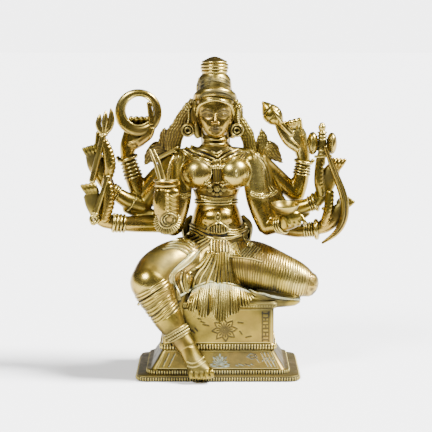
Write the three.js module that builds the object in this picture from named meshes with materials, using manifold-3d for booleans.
// A small South Indian brass figure of Durga: eight-armed, seated on a moulded throne with
// one leg hanging to the foot of the throne and the other folded on the seat. Figure, throne
// and everything held in the hands are one casting, so the model is one solid.
// Millimetres, +Z up, the figure faces -Y, and the origin is under the middle of the base.
import * as THREE from "three";
import { mergeVertices } from "three/addons/utils/BufferGeometryUtils.js";
import Module from "manifold-3d";

const wasm = await Module();
wasm.setup();

// Throne. Widths run along X and depths along Y.
const PLATE_WIDTH = 101;
const PLATE_DEPTH = 66;
const PLATE_HEIGHT = 3.8;
const PLATE_CORNER = 6;
const LEDGE_INSET = 6;
const LEDGE_HEIGHT = 2.8;
const SLOPE_INSET = 3;
const SLOPE_HEIGHT = 11.4;
const ROLL_PROUD = 1.2;
const ROLL_HEIGHT = 4;
const SEAT_WIDTH = 69.4;
const SEAT_DEPTH = 46;
const SEAT_HEIGHT = 22;
const SLAB_OVERHANG = 1.9;
const SLAB_HEIGHT = 4;
const THRONE_CORNER = 2.4;
const EDGE_ROUND = 0.8;

// The figure is laid out in modules, as image makers do: shares of its height over the seat.
const FIGURE_HEIGHT = 151;
const MODULES_HIGH = 151;
const MODULE = FIGURE_HEIGHT / MODULES_HIGH;

const SEAM = 0.7;

const BRASS = 0xb3913d;

const LEDGE_TOP = PLATE_HEIGHT + LEDGE_HEIGHT;
const SLOPE_TOP = LEDGE_TOP + SLOPE_HEIGHT;
const ROLL_TOP = SLOPE_TOP + ROLL_HEIGHT;
const BLOCK_TOP = ROLL_TOP + SEAT_HEIGHT;
const SEAT_TOP = BLOCK_TOP + SLAB_HEIGHT;

// A place in modules from the middle of the seat's top, as a point in millimetres.
function place(x, y, z) {
  return new THREE.Vector3(x * MODULE, y * MODULE, SEAT_TOP + z * MODULE);
}

// A closed three.js geometry as a solid, with its faces pointing out.
function solid(geometry) {
  const bare = geometry.clone();
  bare.deleteAttribute("normal");
  bare.deleteAttribute("uv");
  const merged = mergeVertices(bare, 1e-4);
  const faces = new Uint32Array(merged.index.array);
  const build = () =>
    new wasm.Manifold(
      new wasm.Mesh({
        numProp: 3,
        vertProperties: new Float32Array(merged.attributes.position.array),
        triVerts: faces,
      }),
    );
  const made = build();
  if (made.volume() > 0) return made;
  for (let i = 0; i < faces.length; i += 3)
    [faces[i + 1], faces[i + 2]] = [faces[i + 2], faces[i + 1]];
  return build();
}

// A skin through rings of as many points each. It is closed at both ends by a fan round a
// point, or runs round on itself.
function skin(rings, { first, last, round = false } = {}) {
  const count = rings[0].length;
  const points = rings.flat();
  const faces = [];
  const bands = round ? rings.length : rings.length - 1;
  for (let i = 0; i < bands; i++)
    for (let j = 0; j < count; j++) {
      const next = ((i + 1) % rings.length) * count;
      const a = i * count + j;
      const b = i * count + ((j + 1) % count);
      const c = next + ((j + 1) % count);
      faces.push(a, b, c, a, c, next + j);
    }
  const fan = (ring, tip, flip) => {
    const start = ring * count;
    points.push(tip ?? middleOf(rings[ring]));
    for (let j = 0; j < count; j++) {
      const a = start + j;
      const b = start + ((j + 1) % count);
      faces.push(points.length - 1, flip ? a : b, flip ? b : a);
    }
  };
  if (!round) {
    fan(0, first, false);
    fan(rings.length - 1, last, true);
  }
  const geometry = new THREE.BufferGeometry().setFromPoints(points);
  geometry.setIndex(faces);
  return solid(geometry);
}

function middleOf(points) {
  return points.reduce((sum, p) => sum.add(p), new THREE.Vector3()).divideScalar(points.length);
}

// A limb through stations [x, y, z, half width, half depth] in modules. Its width lies across
// the view and its depth along it, and both ends are blunt points.
function limb(stations, sides = 6, bluntness = 0.6) {
  const middles = stations.map(([x, y, z]) => place(x, y, z));
  const last = stations.length - 1;
  const along = middles.map((_, i) =>
    middles[Math.min(i + 1, last)].clone().sub(middles[Math.max(i - 1, 0)]).normalize(),
  );
  const tip = (i, way) => {
    const [, , , wide, deep = wide] = stations[i];
    return middles[i].clone().addScaledVector(along[i], way * bluntness * Math.min(wide, deep) * MODULE);
  };
  const rings = stations.map(([, , , wide, deep = wide], i) => {
    const steep = Math.abs(along[i].y) > 0.85;
    const view = steep ? new THREE.Vector3(0, 0, 1) : new THREE.Vector3(0, 1, 0);
    const depth = view.addScaledVector(along[i], -view.dot(along[i])).normalize();
    const width = new THREE.Vector3().crossVectors(along[i], depth);
    return Array.from({ length: sides }, (_, j) => {
      const angle = ((j + 0.5) / sides) * 2 * Math.PI;
      return middles[i]
        .clone()
        .addScaledVector(width, Math.cos(angle) * wide * MODULE)
        .addScaledVector(depth, Math.sin(angle) * deep * MODULE);
    });
  });
  return skin(rings, { first: tip(0, -1), last: tip(last, 1) });
}

// A trunk of level ovals [x, y, z, half width, front depth, back depth] in modules.
function trunk(sections, sides) {
  return skin(
    sections.map(([x, y, z, wide, front, back]) =>
      Array.from({ length: sides }, (_, j) => {
        const angle = ((j + 0.5) / sides) * 2 * Math.PI;
        const depth = Math.sin(angle) < 0 ? front : back;
        return place(x + Math.cos(angle) * wide, y + Math.sin(angle) * depth, z);
      }),
    ),
  );
}

function ball(x, y, z, wide, deep, high, around = 6, up = 4) {
  const geometry = new THREE.SphereGeometry(1, around, up);
  geometry.rotateX(Math.PI / 2);
  geometry.scale(wide * MODULE, deep * MODULE, high * MODULE);
  return solid(geometry.translate(...place(x, y, z)));
}

// A turned piece: its profile is [radius, height] in modules, and its axis points along `up`.
function turned(profile, x, y, z, up = [0, 0, 1], sides = 10) {
  const outline = profile.map(([r, h]) => new THREE.Vector2(r * MODULE, h * MODULE));
  const geometry = new THREE.LatheGeometry(outline, sides);
  const axis = new THREE.Vector3(...up).normalize();
  const turn = new THREE.Quaternion().setFromUnitVectors(new THREE.Vector3(0, 1, 0), axis);
  geometry.applyQuaternion(turn);
  return solid(geometry.translate(...place(x, y, z)));
}

// A ring whose axis points along `up`, of radius `r` to the middle of its section.
function hoop(x, y, z, r, wide, thick, up = [0, 1, 0], sides = 16, section = 4) {
  const profile = Array.from({ length: section + 1 }, (_, j) => {
    const angle = ((j % section) / section) * 2 * Math.PI;
    return [r + Math.cos(angle) * wide, Math.sin(angle) * thick];
  });
  return turned(profile, x, y, z, up, sides);
}

// A flat leaf with a smooth outline [x, z], from `front` to `back` in Y.
function leaf(outline, front, back, points = 11) {
  const TENSION = 0.4;
  const curve = new THREE.CatmullRomCurve3(
    outline.map(([x, z]) => place(x, 0, z)),
    true,
    "catmullrom",
    TENSION,
  );
  const shape = curve.getSpacedPoints(points).slice(0, points);
  const ring = (depth) => shape.map((p) => new THREE.Vector3(p.x, depth * MODULE, p.z));
  return skin([ring(front), ring(back)]);
}

// A sheet in pleats between a top line and a foot line of points in modules. Its ridges stand
// `fold` in front of its valleys and its back is flat. Valleys can stop short of the foot.
function pleats(top, foot, count, fold, thick, { rows = 2, scallop = 0, bend = [0, -0.8, 0] } = {}) {
  const FOLD_AT_TOP = 0.35;
  const TENSION = 0.3;
  const line = (points) =>
    new THREE.CatmullRomCurve3(points.map((p) => place(...p)), false, "catmullrom", TENSION);
  const topLine = line(top);
  const footLine = line(foot);
  const sag = new THREE.Vector3(...bend).multiplyScalar(MODULE);
  const behind = new THREE.Vector3(0, thick * MODULE, 0);
  const columns = 2 * count + 1;
  const rings = Array.from({ length: columns }, (_, j) => {
    const share = j / (columns - 1);
    const ridge = j % 2;
    const from = topLine.getPoint(share);
    const to = footLine.getPoint(share).lerp(from, ridge ? 0 : scallop);
    const front = Array.from({ length: rows + 1 }, (_, i) => {
      const down = i / rows;
      const p = from.clone().lerp(to, down).addScaledVector(sag, Math.sin(down * Math.PI));
      p.y -= ridge * fold * MODULE * (FOLD_AT_TOP + (1 - FOLD_AT_TOP) * down);
      return p;
    });
    return [...front, to.clone().add(behind), from.clone().add(behind)];
  });
  return skin(rings);
}

// Fingers or toes side by side, from a row of roots to a row of tips, bent at the middle.
function digits([rootA, rootB], [tipA, tipB], { count = 4, r = 1.95, bend = [0, -0.6, 1.4] } = {}) {
  const mix = (a, b, share) => a.map((v, k) => v + (b[k] - v) * share);
  return Array.from({ length: count }, (_, i) => {
    const root = mix(rootA, rootB, i / (count - 1));
    const tip = mix(tipA, tipB, i / (count - 1));
    const knuckle = mix(root, tip, 0.5).map((v, k) => v + bend[k]);
    return limb([[...root, r], [...knuckle, r], [...tip, r * 0.8]], 4);
  });
}

// The throne, one stack of rectangles with rounded corners.
function throne() {
  const CORNER_STEPS = 2;
  const level = (width, depth, z, radius = THRONE_CORNER) => {
    const ring = [];
    for (let corner = 0; corner < 4; corner++) {
      const sideX = corner === 0 || corner === 3 ? 1 : -1;
      const sideY = corner < 2 ? 1 : -1;
      for (let k = 0; k <= CORNER_STEPS; k++) {
        const angle = ((corner + k / CORNER_STEPS) * Math.PI) / 2;
        const x = sideX * (width / 2 - radius) + Math.cos(angle) * radius;
        const y = sideY * (depth / 2 - radius) + Math.sin(angle) * radius;
        ring.push(new THREE.Vector3(x, y, z));
      }
    }
    return ring;
  };
  const slabWidth = SEAT_WIDTH + 2 * SLAB_OVERHANG;
  const slabDepth = SEAT_DEPTH + 2 * SLAB_OVERHANG;
  const rollWidth = SEAT_WIDTH + 2 * ROLL_PROUD;
  const rollDepth = SEAT_DEPTH + 2 * ROLL_PROUD;
  const ledgeWidth = PLATE_WIDTH - 2 * LEDGE_INSET;
  const ledgeDepth = PLATE_DEPTH - LEDGE_INSET;
  const slopeWidth = ledgeWidth - 2 * SLOPE_INSET;
  const slopeDepth = ledgeDepth - SLOPE_INSET;
  const groove = 2 * EDGE_ROUND;
  const slabMiddle = BLOCK_TOP + SLAB_HEIGHT / 2;
  return skin([
    level(PLATE_WIDTH, PLATE_DEPTH, 0, PLATE_CORNER),
    level(PLATE_WIDTH, PLATE_DEPTH, PLATE_HEIGHT - EDGE_ROUND, PLATE_CORNER),
    level(PLATE_WIDTH - groove, PLATE_DEPTH - groove, PLATE_HEIGHT, PLATE_CORNER - EDGE_ROUND),
    level(ledgeWidth, ledgeDepth, PLATE_HEIGHT, PLATE_CORNER),
    level(ledgeWidth, ledgeDepth, LEDGE_TOP - EDGE_ROUND, PLATE_CORNER),
    level(ledgeWidth - groove, ledgeDepth - groove, LEDGE_TOP, PLATE_CORNER - EDGE_ROUND),
    level(slopeWidth, slopeDepth, LEDGE_TOP),
    level(SEAT_WIDTH, SEAT_DEPTH, SLOPE_TOP),
    level(rollWidth, rollDepth, SLOPE_TOP + EDGE_ROUND),
    level(rollWidth, rollDepth, ROLL_TOP - EDGE_ROUND),
    level(SEAT_WIDTH, SEAT_DEPTH, ROLL_TOP),
    level(SEAT_WIDTH, SEAT_DEPTH, BLOCK_TOP),
    level(slabWidth, slabDepth, BLOCK_TOP + EDGE_ROUND),
    level(slabWidth - groove, slabDepth - groove, slabMiddle),
    level(slabWidth, slabDepth, slabMiddle + EDGE_ROUND),
    level(slabWidth, slabDepth, SEAT_TOP),
  ]);
}

function body() {
  const torso = trunk(
    [
      [0, 3, -1.5, 21, 15, 13],
      [0, 3, 8, 24, 14, 17],
      [0, 3, 22, 22.6, 13, 16.6],
      [-0.4, 3, 38, 19, 12.2, 13.2],
      [-0.6, 3, 46, 16.6, 12.3, 11.5],
      [-0.8, 3, 53, 14.6, 11, 9.5],
      [-1.1, 3, 60.5, 12.9, 8.8, 8.3],
      [-1.2, 3, 72, 16.4, 8.5, 9.2],
      [-1.2, 3, 87, 19, 8.2, 9.6],
      [-1.5, 2, 96, 8.6, 6.9, 7.4],
      [-1.6, 1, 104, 7.8, 7, 8],
    ],
    12,
  );
  const shoulders = limb([[-22, 4, 86.5, 6.8], [20, 4, 86.5, 6.8]], 6);
  const breasts = [-12.2, 9.8].map((x) => ball(x, -4.6, 78.6, 10.9, 10.7, 10.5, 10, 7));
  const underBand = hoop(-1.1, 3, 62, 13.6, 1.2, 2.4, [0, 0, 1], 12, 3);
  const navel = limb([[-0.3, -7.6, 53, 0.6], [-0.3, -8.6, 51.2, 1.8, 1.2], [-0.3, -8.4, 49.4, 0.6]], 4);
  return [torso, shoulders, ...breasts, underBand, navel];
}

function head() {
  const face = trunk(
    [
      [-1.5, 0, 100.6, 3.8, 8.4, 3],
      [-1.5, 0, 102.6, 7.2, 10, 6],
      [-1.6, 0, 107, 9.6, 10.6, 9],
      [-1.7, 0, 114, 11.2, 10.6, 12],
      [-1.8, 0, 122, 11.7, 10.6, 13],
      [-1.9, 1, 130, 10.4, 8.6, 11],
    ],
    12,
  );
  const nose = limb(
    [[-1.6, -9, 119, 1.2, 1.6], [-1.6, -9.8, 115, 1.5, 1.9], [-1.6, -10.4, 112, 2.4, 2.2]],
    5,
    0.3,
  );
  const lips = limb([[-4.6, -9, 107.3, 0.8], [-1.5, -9.9, 107.2, 1.5], [1.6, -9, 107.3, 0.8]], 4);
  const hair = ball(-1.8, 4.6, 119, 13.4, 11.8, 13.6, 10, 6);
  const crown = turned(
    [
      [0, -4],
      [10.4, -4],
      [10.9, 5],
      [9.9, 9.4],
      [8.4, 11.8],
      [9.1, 14],
      [8.6, 18],
      [6.2, 19.6],
      [4.6, 21.4],
      [2.8, 23.1],
      [0, 23.9],
    ],
    -2.2,
    3,
    127.4,
    [0, 0, 1],
    11,
  );
  return [face, nose, lips, hair, browBand(), crown];
}

// The band round the hair stands high over the brow and low behind.
function browBand() {
  const STEPS = 12;
  const SECTION = 4;
  const rings = Array.from({ length: STEPS }, (_, i) => {
    const turn = (i / STEPS) * 2 * Math.PI;
    const outX = Math.sin(turn);
    const outY = -Math.cos(turn);
    return Array.from({ length: SECTION }, (_, j) => {
      const angle = (j / SECTION) * 2 * Math.PI;
      const reach = Math.cos(angle) * 2.3;
      return place(
        -1.9 + outX * (12.1 + reach),
        2 + outY * (10.4 + reach),
        124 - outY * 5.4 + Math.sin(angle) * 3.4,
      );
    });
  });
  return skin(rings, { round: true });
}

// Earrings, ear flowers, the hair that falls behind them, and the leaf-shaped flares behind
// the shoulders.
function hairAndShoulders() {
  const disc = [[0, -3], [4.9, -3], [5, 0.8], [3.4, 1.9], [0, 0.8]];
  const earrings = [-18.6, 11.9].map((x) => turned(disc, x, -2.6, 104.8, [0, -1, 0], 9));
  const knobs = [-19.4, 13.6].map((x) => ball(x, 1, 120, 2.4, 2.4, 3.1));
  const ears = [-14.4, 11.2].map((x) => ball(x, 1, 113, 2.6, 3.4, 8.4));
  const falls = [
    [[-15, 125], [-21, 117.6], [-29, 106], [-34.5, 101], [-32, 92], [-24, 92], [-20, 101], [-13.5, 103]],
    [[12, 125], [17.4, 116], [21.4, 107], [25, 98], [25, 91.6], [18.8, 93], [15.4, 101], [9.5, 103]],
  ].map((outline) => leaf(outline, 2, 7.5));
  const flares = [
    [[-24, 92], [-27, 99], [-33, 105.6], [-39, 99.6], [-44, 92], [-46.4, 82], [-41, 82.4], [-32, 78]],
    [[24, 92], [24.6, 99.5], [27.4, 105.4], [33, 100], [37, 90.6], [40.8, 83.6], [34.5, 83.6], [27, 80]],
  ].map((outline) => leaf(outline, 6.5, 11.5));
  const nape = limb([[-1.8, 11, 121, 9, 6], [-1.6, 12, 108, 10, 5.5], [-1.5, 11.5, 92, 9, 4.5]], 6);
  return [...earrings, ...knobs, ...ears, ...falls, ...flares, nape];
}

// Three strands of a collar that falls from both shoulders to the middle, a drop at its point,
// the panel under it and the rosettes at the panel's foot.
function necklaces() {
  const STRANDS = 3;
  const BEAD = 1.2;
  const MIDDLE = -0.9;
  const THICKNESS = 6;
  const inner = [[10.6, -1.6, 97], [0, -4.6, 93.6]];
  const outer = [[25, 1.6, 92], [0, -7.4, 84]];
  const sides = [-1, 0, 1];
  const rings = sides.map((side) => {
    const [topX, topY, topZ] = inner[side ? 0 : 1];
    const [footX, footY, footZ] = outer[side ? 0 : 1];
    const ring = Array.from({ length: 2 * STRANDS + 1 }, (_, i) => {
      const share = i / (2 * STRANDS);
      const x = MIDDLE + side * (topX + (footX - topX) * share);
      const y = topY + (footY - topY) * share - (i % 2) * BEAD;
      return place(x, y, topZ + (footZ - topZ) * share);
    });
    const behind = place(MIDDLE + side * footX, footY + THICKNESS, footZ);
    return [...ring, behind, place(MIDDLE + side * topX, topY + THICKNESS, topZ)];
  });
  const panelTop = [[-4.6, -8.2, 85], [3.6, -8.2, 85]];
  const panelFoot = [[-4.4, -12, 71], [3.2, -12, 71]];
  const panel = pleats(panelTop, panelFoot, 2, 1.4, 7, { rows: 1 });
  const rosettes = [[-6.4, -12.4, 69.6], [-0.6, -12.8, 67.4], [5, -12.4, 69.6]].map((middle) =>
    ball(...middle, 3.4, 3.2, 3.4),
  );
  const drop = ball(-0.8, -8.2, 84.4, 2.8, 2.4, 3.6);
  return [skin(rings), panel, ...rosettes, drop];
}

// An arm from the shoulder over the elbow to the wrist, with a bracelet at its end.
function arm(upper, lower) {
  const [wristX, wristY, wristZ, wristR] = lower[lower.length - 1];
  const [fromX, fromY, fromZ] = lower[lower.length - 2];
  const span = Math.hypot(wristX - fromX, wristY - fromY, wristZ - fromZ);
  const BRACELET = [[6, 1.05], [5, 1.4], [1.4, 1.45]];
  const rings = BRACELET.filter(([up]) => up < span).map(([up, swell]) => {
    const share = up / span;
    const mix = (a, b) => a + (b - a) * share;
    return [mix(wristX, fromX), mix(wristY, fromY), mix(wristZ, fromZ), wristR * swell];
  });
  return [limb(upper, 6), limb([...lower.slice(0, -1), ...rings, [wristX, wristY, wristZ, wristR]], 7)];
}

function arms() {
  const left = [
    arm([[-23, 2, 86, 7.2], [-24, -3, 62, 7.2], [-28, -5, 44, 6]],
      [[-28, -5, 44.4, 5.9], [-31.4, -16, 49.4, 5.2]]),
    arm([[-25, 4, 84, 6], [-32, 5, 62, 5.6], [-37, 3, 46, 5]],
      [[-37, 3, 45.2, 5.6], [-54, 0.4, 45.6, 5.2], [-66.7, -2, 46.6, 4.2]]),
    arm([[-27, 6, 84, 5.6], [-38, 8, 68, 5.2], [-47, 8, 56.5, 4.8]],
      [[-47, 8, 56, 5.6], [-57, 6.6, 59.6, 5.3], [-67.5, 4, 66.5, 3.9]]),
    arm([[-28, 8, 85, 5.8], [-42, 12, 71, 5.6], [-48.5, 13, 60, 5.4]],
      [[-48.5, 13, 59.6, 5.6], [-53.4, 12, 73, 5.6], [-57.7, 11, 87.4, 4.4]]),
  ];
  const right = [
    arm([[21.5, 2, 86, 7.2], [24.6, -2, 62, 7], [30.6, -4, 44.4, 5.8]],
      [[30.6, -4, 44.4, 5.6], [42, -13.6, 47.6, 4]]),
    arm([[24, 4, 84, 6], [31, 5, 62, 5.4], [36.5, 4, 45, 4.8]],
      [[36.5, 4, 44, 5], [50, 0, 41.6, 4.6], [62.9, -2, 42.6, 3.7]]),
    arm([[26, 6, 84, 5.6], [33, 7, 68, 5.2], [40.6, 6, 55.4, 4.6]],
      [[40.6, 6, 55, 5.1], [51.8, 4, 55.6, 4.9], [62.2, 2, 59.6, 4]]),
    arm([[26, 8, 85, 5.8], [39.5, 12, 72, 5.6], [49.6, 13, 62.6, 5.3]],
      [[49.6, 13, 62.6, 5.6], [52.4, 12, 72.4, 5.3], [54.4, 11.2, 85, 4.2]]),
  ];
  const webs = [
    limb([[-58, 7, 55, 3.4], [-50, 7, 51.6, 3.4], [-38, 7, 50, 4]], 4),
    limb([[56, 5, 52.6, 3], [48, 4, 48.6, 3.6], [38, 5, 48, 4.4]], 4),
  ];
  return [...left, ...right].flat().concat(webs);
}

// The hand that holds the discus from below.
function discusHand() {
  return [
    limb([
      [-57.7, 11, 87.4, 4.2],
      [-56.6, 10.6, 94, 5.6, 4],
      [-52.6, 10, 100, 8.2, 3.8],
      [-50.6, 9.6, 103, 8.8, 3.2],
    ]),
    ...digits([[-56.6, 9, 102], [-44.4, 9, 102]], [[-54.4, 6, 112], [-44.6, 6, 112]], { bend: [0, 1.6, 1] }),
    limb([[-50, 8, 96, 2.8], [-43.6, 5, 101, 2.6], [-41, 3.4, 105.6, 1.8]], 5),
    hoop(-50, 5.4, 115.4, 11.6, 2.8, 2.3, [0, 1, 0], 20, 5),
    limb([[-43.2, 3.6, 121.4, 1.8], [-41.6, 4, 108.6, 1.8]], 4),
  ];
}

// The hand that holds up the conch between thumb and first finger.
function conchHand() {
  return [
    limb([[54.4, 11.2, 85, 4], [53, 11, 92, 5.2, 4.2], [49.6, 10, 99, 7, 4], [48.4, 9.6, 103, 6.4, 3.4]]),
    ...digits([[45.2, 8.4, 102], [52, 9, 102]], [[45, 5.4, 109.6], [50.6, 6.4, 111]], {
      count: 3,
      bend: [0, 1.2, 1.2],
    }),
    limb([[50, 9, 93, 3.4], [41.6, 8, 101, 3.2], [37, 7.6, 109, 2]], 5),
    limb([[46, 7, 102, 2.3], [38.6, 4.8, 110, 1.8]], 4),
    limb(
      [
        [39.6, 8, 107, 1.8],
        [37, 8, 110.6, 5],
        [33.4, 8, 115, 6.2, 5.4],
        [30.4, 8, 119, 3.8],
        [28.4, 8, 121.6, 1],
      ],
      8,
    ),
  ];
}

// A flat hand that stands on its wrist and closes on a shaft between fingers and thumb.
function shaftHand(wrist, palm, [inner, outer], thumb) {
  const root = ([x, y, z]) => [x, y + 3, z - 3.4];
  return [
    limb([wrist, ...palm]),
    ...digits([root(inner), root(outer)], [inner, outer]),
    limb(thumb, 5),
  ];
}

function tridentHand() {
  const TINE = 1.7;
  const FRONT = -4.2;
  const neck = [-71, FRONT, 102.6];
  const tines = [
    [[-73.8, FRONT, 106.6, TINE], [-73.6, FRONT, 114.4, 1]],
    [[-70.4, FRONT, 108, TINE], [-70, FRONT, 116.4, 1]],
    [[-67, FRONT, 107.4, TINE], [-66.6, FRONT, 118.4, 1]],
  ];
  return [
    ...shaftHand(
      [-67.5, 4, 66.5, 3.8],
      [[-71, 2.4, 73, 5.2, 3.8], [-74.6, 1, 83, 7.6, 3.8], [-77.2, 0.6, 91, 8, 3.2]],
      [[-83.4, -3.4, 94], [-76.4, -3.4, 97]],
      [[-69.4, -1, 72, 2.6], [-66.8, -3.4, 84, 3.2], [-69.4, -4, 97, 1.8]],
    ),
    limb([[-75.4, -0.6, 95, 2.4], [-75.6, -1.6, 104, 1.7]], 4),
    limb([[-78.7, FRONT, 73.4, 1.9], [-71.5, FRONT, 101, 1.9]], 5),
    ...tines.map((tine) => limb([[...neck, TINE], ...tine], 4)),
  ];
}

function maceHand() {
  return [
    ...shaftHand(
      [-66.7, -2, 46.6, 4.4],
      [[-72.4, -2.4, 50, 5.6, 4.2], [-76.2, -2.8, 59, 7.2, 3.8], [-79.4, -2.8, 66.6, 7.8, 3.2]],
      [[-85.4, -6.4, 70.4], [-77.6, -6.4, 71.6]],
      [[-71, -4.6, 50, 3], [-67.8, -5.6, 62, 3.5], [-69, -5.6, 74.4, 1.9]],
    ),
    limb([[-68.6, -7.2, 76.4, 1.6], [-76.6, -7, 52.6, 2]], 5),
    limb([[-76.8, -6.6, 53, 2.2], [-77.6, -6.6, 49.6, 3.2], [-78, -6.6, 46.8, 2]], 6),
  ];
}

// The hand that carries the hand drum, its two heads to the sides of a knobbed grip.
function drumHand() {
  return [
    ...shaftHand(
      [62.2, 2, 59.6, 4],
      [[66.2, 1.4, 66, 5.4, 4], [69.4, 0.6, 75, 7, 3.8], [72.6, 0.4, 83.4, 7.8, 3.2]],
      [[71.8, -3, 86.6], [79.4, -3, 86]],
      [[65, -1.6, 66, 2.8], [63.4, -3, 77, 3.1], [64, -2.8, 87, 2.4]],
    ),
    limb([[64.6, -2.6, 84, 2.8], [65, -2.6, 96, 2.9], [64.9, -2.6, 105, 2.4], [64.8, -2.6, 108, 2.6]], 6),
    limb([[59.6, -2, 94.6, 2.4], [70.6, -2, 95, 2.4]], 4),
    ball(59, -2, 96.6, 3.8, 5.6, 7.2, 8, 5),
    ball(71, -2, 97, 3.4, 5.6, 6.8, 8, 5),
  ];
}

// The hand that holds the bow by its grip, and the bow in front of it.
function bowHand() {
  const bow = [
    [66.6, -7.4, 95, 1.4, 1.4],
    [71, -7.4, 83, 2, 2],
    [77.6, -7.4, 66, 2.8, 2.6],
    [79.2, -7.4, 56, 2.9, 2.6],
    [77.8, -7.2, 47.6, 2.7, 2.4],
    [73.4, -7.2, 40.6, 2.1, 2],
    [65.4, -7, 34.6, 1, 1],
  ];
  return [
    ...shaftHand(
      [62.9, -2, 42.6, 3.6],
      [[67.6, -2.4, 45.4, 5, 4], [74, -2.8, 52, 7, 3.8], [79.4, -3, 58.6, 7.4, 3.2]],
      [[79.6, -5.6, 64.4], [85.4, -5.6, 59.8]],
      [[66.6, -4.4, 47, 3], [69, -5.4, 56, 3.2], [70, -5.4, 65, 2.4]],
    ),
    limb(bow, 5),
  ];
}

// The fist on the sword's hilt, its four fingers across the front.
function swordHand() {
  const knuckles = digits(
    [[-25.6, -19.6, 71], [-25.6, -19.6, 60]],
    [[-33, -25.6, 67.4], [-33, -25.6, 57]],
    { bend: [0.8, -2.6, 0.6] },
  );
  const guard = [[0, -1.8], [6.8, -1.8], [8, 0], [6.8, 1.8], [0, 1.8]];
  const bracelet = [[0, -3], [6.6, -3], [8.6, -0.4], [7.4, 2.4], [0, 2.8]];
  return [
    turned(bracelet, -31.4, -18.6, 49.6, [-0.05, -0.85, 0.5], 12),
    limb(
      [
        [-31.2, -17, 50, 5.6],
        [-31.6, -19.4, 56, 7, 6],
        [-31.8, -20, 63, 7.6, 6.2],
        [-31.8, -20, 70.4, 7.2, 5.6],
      ],
      8,
    ),
    ...knuckles,
    turned(guard, -32, -20, 73.8, [0, 0.1, 1], 12),
    limb([[-33, -20, 75, 2.4, 1.6], [-41.6, -16, 94, 1.2, 0.9]], 4),
    limb([[-24.6, 2, 93.6, 1.8], [-38, 6.4, 86.4, 1.6]], 4),
  ];
}

// The hand under the drinking bowl, which is open on top.
function bowlHand() {
  const bowl = [[0, -4.6], [3.4, -4.6], [6.8, -2.6], [8.6, 0.8], [7.6, 1.2], [5.6, -1.4], [0, -3]];
  return [
    limb([[41, -12.6, 47.2, 4.6], [45.2, -15.6, 51.4, 6.6, 4.6], [45.4, -16.4, 54.4, 5.6, 4]]),
    ...digits([[40.4, -16.4, 46.8], [51, -14.4, 46.8]], [[41, -20, 56], [51, -17.6, 56]], {
      r: 2.5,
      bend: [0, -3, 0],
    }),
    turned(bowl, 41.4, -18.4, 59.6, [0, -0.12, 1], 12),
  ];
}

// The folded leg on the seat, its knee to the side, and the shin along the seat's front.
function foldedLeg() {
  const thigh = [
    [10, 1, 20, 15.4, 14],
    [23, -5, 19.6, 15.7, 15],
    [38.8, -10, 15.3, 13.4, 13],
    [50, -12, 11.6, 11.2, 11],
    [56.8, -12.5, 9.2, 8, 8.6],
  ];
  const shin = [
    [46, -12, 3, 5.8, 7],
    [47, -13.4, -0.2, 4, 5],
    [30, -17, -0.4, 4.2, 5.4],
    [8, -19, 0.6, 3.8, 5],
  ];
  return [limb(thigh, 12, 0.7), limb(shin, 7, 0.5)];
}

// The hanging leg, its wrappings in ridges, and the foot on the plate's edge.
function hangingLeg() {
  const knee = [-41.4, -23, 12.5];
  const sole = (PLATE_HEIGHT - SEAT_TOP) / MODULE;
  const edge = -PLATE_DEPTH / 2 / MODULE;
  const ankle = [-19.4, edge + 3.4, sole + 17.8];
  const BULGE = 1.8;
  const station = (share, r) => {
    const [x, y, z] = knee.map((v, k) => v + (ankle[k] - v) * share);
    return [x - Math.sin(share * Math.PI) * BULGE, y, z, r];
  };
  const RIDGES = 5;
  const RIDGE = 0.8;
  const ridged = Array.from({ length: RIDGES }, (_, i) => {
    const share = 0.22 + (0.48 * i) / RIDGES;
    const r = 12.8 - 6.2 * share;
    return [station(share, r + RIDGE), station(share + 0.24 / RIDGES, r - RIDGE / 3)];
  });
  const shin = [station(0, 12.8), station(0.12, 12.6), ...ridged.flat()];
  const anklet = [station(0.73, 7), station(0.76, 8.6), station(0.84, 8), station(0.87, 6.4)];
  const thigh = [
    [-12, 1, 21, 15, 14],
    [-26, -8, 22, 14.8, 14],
    [-36.6, -17, 18.4, 13.8, 13.4],
    [-41.4, -23, 13, 13, 12.7],
  ];
  const toes = digits(
    [[-16, edge - 2, sole + 2.6], [-5.6, edge - 2, sole + 2.2]],
    [[-14.8, edge - 5.6, sole + 0.2], [-3.6, edge - 5.6, sole - 0.2]],
    { count: 5, r: 1.9, bend: [0, -0.4, 0.8] },
  );
  return [
    ball(...knee, 13, 12.8, 12.8, 9, 6),
    limb(thigh, 10),
    limb([...shin, ...anklet, station(1, 6.2)], 8),
    limb(
      [
        [ankle[0], ankle[1], ankle[2], 6.2],
        [ankle[0] + 3.6, edge, sole + 11, 6.2, 5.8],
        [ankle[0] + 7, edge - 2.6, sole + 3.8, 6.9, 4.8],
        [ankle[0] + 8.8, edge - 3.2, sole + 1.8, 6.9, 3.6],
      ],
      8,
      0.3,
    ),
    ...toes,
  ];
}

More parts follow.
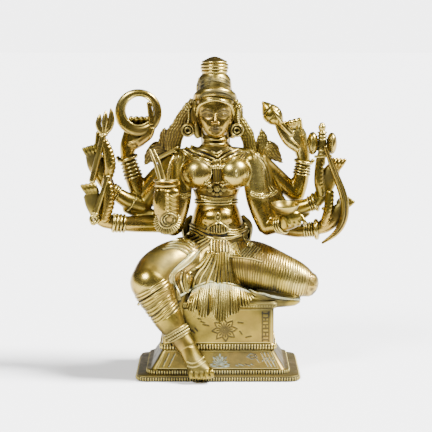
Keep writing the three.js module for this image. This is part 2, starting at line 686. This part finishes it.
// Belts, clasp, the sashes over the hips and all the hanging cloth.
function dress() {
  const BELT = 1.9;
  const clasp = turned([[0, -3], [7.2, -3], [6.6, 0.4], [0, 1.6]], -0.6, -9.2, 44, [0, -1, 0.15], 10);
  const belt = [[-17.6, 0, 45], [-11.6, -7.4, 42.6], [-0.6, -9.4, 40.4], [11, -7.4, 42.6], [17, 0, 45]];
  const girdle = [[-20.6, 2, 38], [-15.4, -6.4, 36], [-0.4, -9.6, 34.6], [14.6, -6.4, 36], [20, 2, 38]];
  const rearBelt = [[20.6, 2, 38], [14.8, 13.4, 38], [0, 17.4, 37], [-14.8, 13.4, 38], [-20.6, 2, 38]];
  const sashes = [
    [[-20, 0, 34, 1.9], [-13, -9.4, 27, 2], [-6, -11.6, 23.6, 1.8]],
    [[-24, -4, 33.6, 1.9], [-18, -11.4, 25, 2], [-10.6, -14.6, 18, 1.8]],
    [[20.6, -1, 34, 1.9], [20, -9.4, 30, 2], [14.6, -13.6, 22, 1.8]],
  ];
  const loops = [
    [[-19.6, 8, 34, 2.2], [-20, 8.6, 43, 2.6], [-17, 9, 48.6, 1.8]],
    [[18.4, 8, 34, 2.2], [18, 8.6, 43, 2.6], [15.4, 9, 48.8, 1.8]],
  ];
  const hem = [[-14, -15, 24, 3, 2], [-23, -21.4, 17, 3, 2], [-29, -27, 8, 3, 2], [-25.6, -29.4, -9, 2.2, 2]];
  const middle = pleats([[-4.4, -9.6, 38], [6, -9.6, 38]], [[-4, -19, 12.4], [6, -19, 12]], 3, 1.8, 8);
  const folds = pleats(
    [[-13, -9, 30], [-4.6, -10.6, 33]],
    [[-22.6, -20.4, 5], [-15, -21.4, 7.4], [-4.6, -19.6, 12]],
    3,
    2.6,
    9,
  );
  const hipFan = pleats([[7, -10.4, 35], [15, -8, 36]], [[7, -16, 25.6], [17.4, -12.4, 24.6]], 3, 1.2, 6);
  const apron = pleats(
    [[-21, -22, 3], [-13, -21, 8], [-3, -20, 11.4], [10, -20.4, 9.4], [25, -21, 4.4]],
    [
      [-20, -26.6, -8.6],
      [-12, -27, -9.4],
      [-6, -27.4, -8.6],
      [-2.4, -27.8, -12.4],
      [4, -27.4, -9.4],
      [13, -26.6, -5.6],
      [16.6, -25.6, 0.4],
      [25.4, -24, 1.4],
    ],
    9,
    1.8,
    9,
    { scallop: 0.12 },
  );
  const belts = [belt, girdle, rearBelt].map((line) => line.map((point) => [...point, BELT]));
  const bands = [...belts, ...sashes, ...loops, hem].map((line) => limb(line, 4));
  return [clasp, ...bands, middle, folds, hipFan, apron];
}

// The beaded bands that tie the upper arms of each side together.
function armBands() {
  return [
    limb([[19, -6.4, 65, 1.5], [25, -8.2, 64.8, 1.6], [33, -4, 67, 1.6], [41, 5, 75.4, 1.5]], 4),
    limb([[-17.4, -6, 64.6, 1.5], [-22.6, -9, 64, 1.6], [-28.6, -7.6, 65, 1.5]], 4),
  ];
}

const pieces = [
  throne(),
  ...body(),
  ...head(),
  ...hairAndShoulders(),
  ...necklaces(),
  ...arms(),
  ...discusHand(),
  ...conchHand(),
  ...tridentHand(),
  ...maceHand(),
  ...drumHand(),
  ...bowHand(),
  ...swordHand(),
  ...bowlHand(),
  ...foldedLeg(),
  ...hangingLeg(),
  ...dress(),
  ...armBands(),
];

// The pieces are joined in pairs, and the pairs in pairs, until one casting is left.
function join(solids) {
  if (solids.length === 1) return solids[0];
  const half = Math.ceil(solids.length / 2);
  return join(solids.slice(0, half)).add(join(solids.slice(half)));
}

// Where pieces cross, the joint is left with slivers. Every edge shorter than `shortest` is
// drawn to its middle, unless that would pinch the skin or fold a face over.
function dressSeams(mesh, shortest) {
  const LEAST_AREA = 0.01;
  const LEAST_TURN = 0.7;
  const PASSES = 4;
  const points = [];
  for (let i = 0; i < mesh.vertProperties.length; i += 3)
    points.push(new THREE.Vector3().fromArray(mesh.vertProperties, i));
  const faces = [];
  for (let i = 0; i < mesh.triVerts.length; i += 3) faces.push([...mesh.triVerts.slice(i, i + 3)]);
  const around = points.map(() => new Set());
  faces.forEach((face, f) => face.forEach((v) => around[v].add(f)));
  const neighbours = (v) => new Set([...around[v]].flatMap((f) => faces[f]).filter((w) => w !== v));
  const across = (a, b, c) => b.clone().sub(a).cross(c.clone().sub(a));
  const folds = (f, a, b, middle) => {
    const old = across(...faces[f].map((v) => points[v]));
    if (old.length() < 2 * LEAST_AREA) return false;
    const moved = across(...faces[f].map((v) => (v === a || v === b ? middle : points[v])));
    return moved.dot(old) < LEAST_TURN * moved.length() * old.length();
  };
  const collapse = (a, b) => {
    if (!around[a].size || !around[b].size || points[a].distanceTo(points[b]) > shortest) return false;
    const ofB = neighbours(b);
    if (!ofB.has(a) || [...neighbours(a)].filter((v) => ofB.has(v)).length !== 2) return false;
    const middle = points[a].clone().lerp(points[b], 0.5);
    const shared = [...around[b]].filter((f) => faces[f].includes(a));
    const ring = [...around[a], ...around[b]].filter((f) => !shared.includes(f));
    if (ring.some((f) => folds(f, a, b, middle))) return false;
    points[a] = middle;
    for (const f of shared) faces[f].forEach((v) => around[v].delete(f));
    for (const f of around[b]) {
      faces[f] = faces[f].map((v) => (v === b ? a : v));
      around[a].add(f);
    }
    around[b].clear();
    return true;
  };
  for (let pass = 0; pass < PASSES; pass++) {
    const edges = [];
    for (let v = 0; v < points.length; v++)
      for (const w of neighbours(v)) if (v < w) edges.push([v, w, points[v].distanceTo(points[w])]);
    const short = edges.filter((edge) => edge[2] < shortest).sort((one, other) => one[2] - other[2]);
    if (!short.filter(([a, b]) => collapse(a, b)).length) break;
  }
  const kept = faces.filter((face, f) => around[face[0]].has(f));
  const geometry = new THREE.BufferGeometry().setFromPoints(kept.flat().map((v) => points[v]));
  return mergeVertices(geometry, 1e-6);
}

const casting = dressSeams(join(pieces).getMesh(), SEAM);
casting.computeVertexNormals();

const figure = new THREE.Mesh(
  casting,
  new THREE.MeshStandardMaterial({ color: BRASS, roughness: 0.32, metalness: 1 }),
);
figure.name = "durga_figure";

const object = new THREE.Group();
object.add(figure);

export default object;
